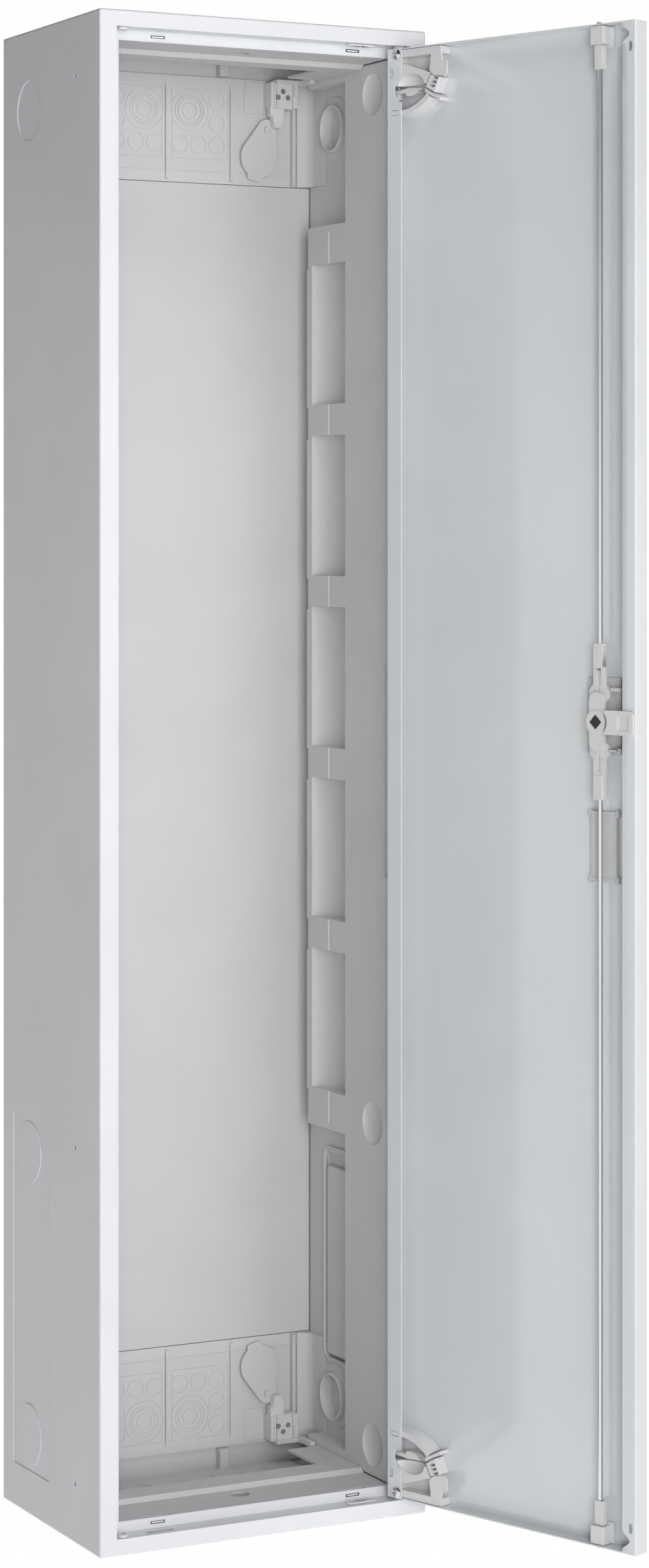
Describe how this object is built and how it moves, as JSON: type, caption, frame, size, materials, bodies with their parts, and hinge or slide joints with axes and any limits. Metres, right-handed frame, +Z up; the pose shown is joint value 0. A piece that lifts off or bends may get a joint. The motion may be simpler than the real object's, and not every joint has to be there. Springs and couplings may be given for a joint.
{
  "type": "residential load center cabinet",
  "caption": "Tall narrow wall-mounted steel distribution cabinet with a plastic lining, a right-hinged door standing open and a rod lock.",
  "frame": {"origin": "centre of the back face, in the plane that lies against the wall", "axes": "+X to the right as seen from the front, +Y into the wall, +Z up"},
  "size_m": [0.3701, 0.4463, 1.25],
  "materials": {
    "casing_paint": "cool white powder coat, fine texture, semi-gloss",
    "door_paint": "cool white powder coat, glossy inside",
    "lining": "moulded light grey insulating plastic, satin",
    "white_plastic": "moulded pale grey plastic, satin gloss",
    "dark_plastic": "moulded mid-grey plastic",
    "black_metal": "blackened zinc casting, satin",
    "chrome": "bright plated steel"
  },
  "bodies": {
    "cabinet": {"outer_casing": "casing_paint", "back_panel": "casing_paint", "rear_plate": "lining", "side_liner_right": "lining", "side_liner_left": "lining", "rear_insert_upper": "lining", "tray_upper": "lining", "flange_plate_upper": "lining", "slot_plug_upper": "white_plastic", "corner_bracket_upper_right": "white_plastic", "hinge_bushing_upper_right": "white_plastic", "corner_bracket_upper_left": "white_plastic", "hinge_bushing_upper_left": "white_plastic", "rear_insert_lower": "lining", "tray_lower": "lining", "flange_plate_lower": "lining", "slot_plug_lower": "white_plastic", "corner_bracket_lower_right": "white_plastic", "hinge_bushing_lower_right": "white_plastic", "corner_bracket_lower_left": "white_plastic", "hinge_bushing_lower_left": "white_plastic"},
    "door": {"door_leaf": "door_paint", "lock_plate": "dark_plastic", "lock_bush": "dark_plastic", "guide_pin": "chrome", "grip_dish": "dark_plastic", "hinge_bracket_upper": "white_plastic", "hinge_screw_upper": "chrome", "rod_guide_upper": "white_plastic", "hinge_bracket_lower": "white_plastic", "hinge_screw_lower": "chrome", "rod_guide_lower": "white_plastic"},
    "lock_cam": {"lock_cam": "white_plastic", "square_insert": "black_metal"},
    "latch_bolt": {"latch_bolt": "white_plastic"},
    "upper_rod": {"lock_rod_upper": "chrome", "rod_link_upper": "white_plastic", "rod_end_upper": "white_plastic"},
    "upper_hinge_pin": {"hinge_pin_upper": "chrome", "release_lever_upper": "white_plastic"},
    "flap_upper_right": {"wall_flap_upper_right": "lining"},
    "flap_upper_left": {"wall_flap_upper_left": "lining"},
    "lower_rod": {"lock_rod_lower": "chrome", "rod_link_lower": "white_plastic", "rod_end_lower": "white_plastic"},
    "lower_hinge_pin": {"hinge_pin_lower": "chrome", "release_lever_lower": "white_plastic"},
    "flap_lower_right": {"wall_flap_lower_right": "lining"},
    "flap_lower_left": {"wall_flap_lower_left": "lining"}
  },
  "joints": [
    {"name": "door_hinge", "type": "hinge", "parent": "cabinet", "child": "door", "pos_m": [0.1273, -0.199, 0], "axis": [0, 0, 1], "range_deg": [-110, 0]},
    {"name": "lock_turn", "type": "hinge", "parent": "door", "child": "lock_cam", "pos_m": [0.19733, -0.40603, 0.0506], "axis": [-0.9397, -0.342, 0], "range_deg": [0, 90]},
    {"name": "upper_rod_slide", "type": "slide", "parent": "door", "child": "upper_rod", "axis": [0, 0, 1], "range_m": [0, 0.0102]},
    {"name": "lower_rod_slide", "type": "slide", "parent": "door", "child": "lower_rod", "axis": [0, 0, -1], "range_m": [0, 0.0102]},
    {"name": "latch_bolt_slide", "type": "slide", "parent": "door", "child": "latch_bolt", "axis": [0.342, -0.9397, 0], "range_m": [0, 0.0105]},
    {"name": "upper_pin_slide", "type": "slide", "parent": "door", "child": "upper_hinge_pin", "axis": [0, 0, -1], "range_m": [0, 0.0094]},
    {"name": "lower_pin_slide", "type": "slide", "parent": "door", "child": "lower_hinge_pin", "axis": [0, 0, 1], "range_m": [0, 0.0094]},
    {"name": "flap_upper_right_swivel", "type": "hinge", "parent": "cabinet", "child": "flap_upper_right", "pos_m": [0.0956, -0.0118, 0.559], "axis": [0, 1, 0], "range_deg": [0, 100]},
    {"name": "flap_upper_left_swivel", "type": "hinge", "parent": "cabinet", "child": "flap_upper_left", "pos_m": [-0.0956, -0.0118, 0.559], "axis": [0, -1, 0], "range_deg": [0, 100]},
    {"name": "flap_lower_right_swivel", "type": "hinge", "parent": "cabinet", "child": "flap_lower_right", "pos_m": [0.0956, -0.0118, -0.559], "axis": [0, -1, 0], "range_deg": [0, 100]},
    {"name": "flap_lower_left_swivel", "type": "hinge", "parent": "cabinet", "child": "flap_lower_left", "pos_m": [-0.0956, -0.0118, -0.559], "axis": [0, 1, 0], "range_deg": [0, 100]}
  ],
  "couplings": [
    {"joint": "lock_turn", "follows": "upper_rod_slide", "rad_per_m": 154},
    {"joint": "lower_rod_slide", "follows": "upper_rod_slide", "ratio": 1},
    {"joint": "latch_bolt_slide", "follows": "upper_rod_slide", "ratio": 1.0294}
  ]
}
